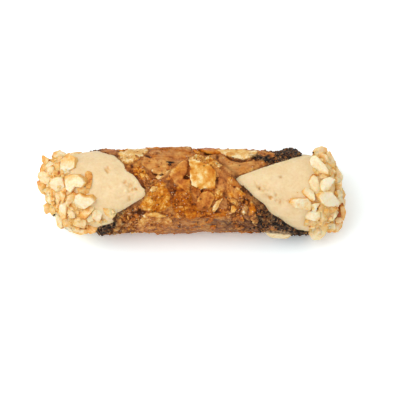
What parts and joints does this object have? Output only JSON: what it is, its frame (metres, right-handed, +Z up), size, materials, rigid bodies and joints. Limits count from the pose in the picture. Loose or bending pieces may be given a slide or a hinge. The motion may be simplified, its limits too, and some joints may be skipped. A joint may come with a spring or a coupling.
{
  "type": "cannoli",
  "caption": "Filled cannolo on its side: a wrapped, flaky fried pastry tube with slanted mouths, and cream that domes out of both ends under chopped nuts.",
  "frame": {"origin": "on the surface it rests on, under the middle of its bounding box", "axes": "+X along the tube, +Z up, -Y the front, which the viewer looks down on"},
  "size_m": [0.126, 0.0384, 0.0363],
  "materials": {
    "crust": "fried pastry, brown and flaky, in places glossy or charred",
    "cream": "smooth pale tan cream, satin",
    "nuts": "chopped toasted nuts, satin"
  },
  "bodies": {
    "root": {"pastry_shell": "crust", "nut_coated_cream": "cream"}
  },
  "joints": []
}
